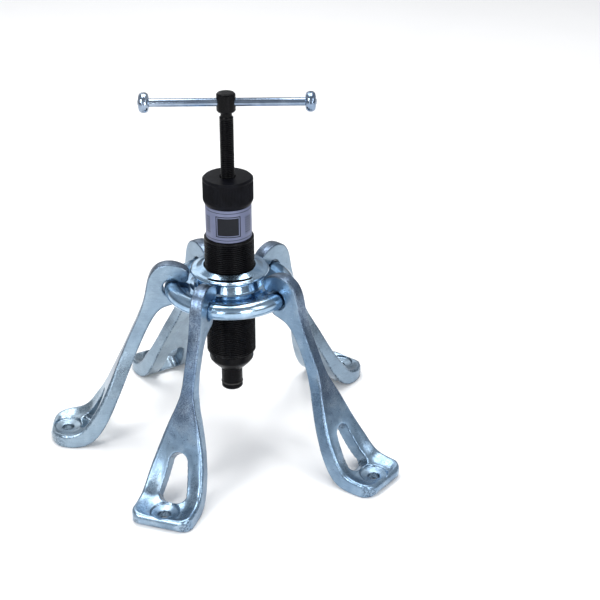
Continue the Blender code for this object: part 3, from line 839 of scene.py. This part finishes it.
def make_legs(mat):
    slot = slot_cutter()
    floor = -120.0 - DISH
    hole = turned("hole", [(0, floor - 25), (HOLE_R, floor - 25), (HOLE_R, floor - 2.2), (SEAT_CONE_R - 1.6, floor - 1.1),
                           (SEAT_CONE_R, floor - 1.0), (SEAT_CONE_R + 0.4, floor + 12), (0, floor + 12)], 72, None)
    hole.location.x = HOLE_U * MM
    bpy.context.view_layer.update()
    for name, hook, heading, toe in LEGS:
        leg = add(leg_mesh(toe), name + "_forged", mat)
        cut(leg, slot)
        cut(leg, hole)
        applied(leg, name + "_cut")
        remesh = leg.modifiers.new("skin", "REMESH")
        remesh.mode = "VOXEL"
        remesh.voxel_size = 0.00062
        remesh.use_smooth_shade = True
        soften = leg.modifiers.new("soften", "SMOOTH")
        soften.factor = 0.5
        soften.iterations = 4
        mesh = applied(leg, name + "_skin", 180.0)
        if not mesh.materials:
            mesh.materials.append(mat)
        mark_faces(mesh)
        a = math.radians(hook)
        mesh.transform(Matrix.Translation(
            (RIM_R * math.cos(a) * MM, RIM_R * math.sin(a) * MM, RIM_Z * MM)
        ) @ Matrix.Rotation(math.radians(heading), 4, "Z"))
        keep_inside(mesh)
        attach(leg, name)
        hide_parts(name)
    for obj in (slot, hole):
        bpy.data.objects.remove(obj, do_unlink=True)


# ---- studio ------------------------------------------------------------------


def aim(obj, target):
    way = Vector(target) - obj.location
    obj.rotation_euler = way.to_track_quat("-Z", "Y").to_euler()


def softbox(name, place, target, size, energy, colour=(1, 1, 1)):
    light = bpy.data.lights.new(name, "AREA")
    light.shape = "RECTANGLE"
    light.size, light.size_y = size
    light.energy = energy
    light.color = colour
    obj = bpy.data.objects.new(name, light)
    bpy.context.scene.collection.objects.link(obj)
    obj.location = place
    aim(obj, target)
    return obj


def make_studio():
    bm = bmesh.new()
    bmesh.ops.create_grid(bm, x_segments=2, y_segments=2, size=30.0)
    floor = add(mesh_from(bm, "studio_floor"), "studio_floor", None)
    floor.location.z = -0.0431
    m = Nodes("floor_paper")
    m.link(m.ramp(m.noise(3.0, 3.0), [(0.3, (0.90, 0.90, 0.90)), (0.7, (0.93, 0.93, 0.93))]), m.shader.inputs["Base Color"])
    m.shader.inputs["Roughness"].default_value = 0.9
    floor.data.materials.append(m.mat)

    world = bpy.data.worlds.new("studio")
    world.use_nodes = True
    bpy.context.scene.world = world
    tree = world.node_tree
    back = tree.nodes["Background"]
    coords = tree.nodes.new("ShaderNodeTexCoord")
    split = tree.nodes.new("ShaderNodeSeparateXYZ")
    tree.links.new(coords.outputs["Generated"], split.inputs[0])
    ramp = tree.nodes.new("ShaderNodeValToRGB")
    half = tree.nodes.new("ShaderNodeMath")
    half.operation = "MULTIPLY_ADD"
    half.inputs[1].default_value = 0.5
    half.inputs[2].default_value = 0.5
    tree.links.new(split.outputs["Z"], half.inputs[0])
    tree.links.new(half.outputs[0], ramp.inputs["Fac"])
    el = ramp.color_ramp.elements
    el.new(0.5); el.new(0.66); el.new(0.82)
    for e, (at, v) in zip(el, ((0.0, 0.40), (0.50, 0.40), (0.62, 0.62), (0.74, 1.02), (1.0, 0.46))):
        e.position = at
        e.color = (v * 0.97, v * 0.99, v * 1.03, 1.0)
    tree.links.new(ramp.outputs["Color"], back.inputs["Color"])
    back.inputs["Strength"].default_value = 0.62

    mid = (0, 0, 0.08)
    softbox("key_left", (-0.95, -0.95, 1.05), mid, (0.50, 0.75), 11.0)
    softbox("front_pane_left", (-0.29, -1.16, 0.36), (0, 0, 0.10), (0.13, 0.55), 2.4)
    softbox("front_pane_right", (0.58, -1.05, 0.36), (0, 0, 0.10), (0.30, 0.55), 5.0)
    softbox("side_right", (1.02, -0.72, 0.80), mid, (0.35, 0.70), 3.5)
    softbox("ceiling_left", (-0.32, 0.35, 1.45), (-0.32, 0.35, 0), (0.42, 1.05), 10.0)
    softbox("ceiling_right", (0.265, 0.35, 1.45), (0.265, 0.35, 0), (0.39, 1.05), 9.0)
    softbox("back_rim", (-0.5, 1.1, 0.75), mid, (0.8, 0.5), 1.3)
    bpy.context.scene.view_settings.view_transform = "Standard"


def make_camera():
    data = bpy.data.cameras.new("view")
    data.sensor_width = 36.0
    data.lens = 91.8
    data.clip_start, data.clip_end = 0.01, 20.0
    cam = bpy.data.objects.new("view", data)
    bpy.context.scene.collection.objects.link(cam)
    cam.location = (0.05377, -1.05536, 0.61111)
    cam.rotation_euler = (math.radians(63.1), 0, 0)
    bpy.context.scene.camera = cam


def recolour(node, mat):
    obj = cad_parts[node]
    for held in obj.material_slots:
        held.material = mat


def main():
    yoke_zinc = zinc("yoke_zinc_plate", (0.17, 0.27, 0.39), (0.33, 0.46, 0.59), (0.54, 0.67, 0.78), 0.15, 0.05,
                     cast=0.04, lathe=True, far=0.03)
    leg_zinc = zinc("leg_zinc_plate", (0.11, 0.165, 0.245), (0.235, 0.335, 0.445), (0.48, 0.59, 0.69), 0.28, 0.35,
                    cast=0.16, local=True)
    bright = zinc("bright_zinc_plate", (0.115, 0.155, 0.225), (0.235, 0.295, 0.385), (0.40, 0.47, 0.56), 0.15, 0.12)
    oxide = black_oxide("oxide_gland", (0.0016, 0.0016, 0.0020), (0.0040, 0.0040, 0.0052), 0.30, gloss=0.09)
    thread_oxide = black_oxide("oxide_thread", (0.0010, 0.0010, 0.0013), (0.0030, 0.0030, 0.0038), 0.27, lathe=False, gloss=0.09)
    cap_oxide = black_oxide("oxide_cap", (0.0016, 0.0017, 0.0026), (0.0045, 0.0050, 0.0078), 0.36, lathe=True, along=True, gloss=0.06)
    rod = black_oxide("oxide_rod", (0.0018, 0.0018, 0.0022), (0.0042, 0.0042, 0.0052), 0.30)
    steel = simple_metal("ground_steel_inner", (0.40, 0.41, 0.42), (0.62, 0.62, 0.63), 0.28)
    brass = simple_metal("bush_brass_inner", (0.50, 0.36, 0.15), (0.70, 0.54, 0.27), 0.34)
    plastic = simple_metal("backup_plastic_inner", (0.66, 0.65, 0.60), (0.84, 0.83, 0.78), 0.55, 0.0)
    seal = rubber("seal_rubber_matt")
    label = label_print("label_foil")

    make_yoke(yoke_zinc)
    make_ram(oxide, thread_oxide, cap_oxide, label, rod, seal)
    make_screw(thread_oxide, bright)
    make_legs(leg_zinc)
    make_spring(steel)
    for node in ("pump_plunger", "thrust_ball"):
        recolour(node, steel)
    for node in ("rod_wiper", "piston_seal", "plunger_seal"):
        recolour(node, seal)
    recolour("screw_bush", brass)
    recolour("piston_backup_ring", plastic)
    make_studio()
    make_camera()


main()
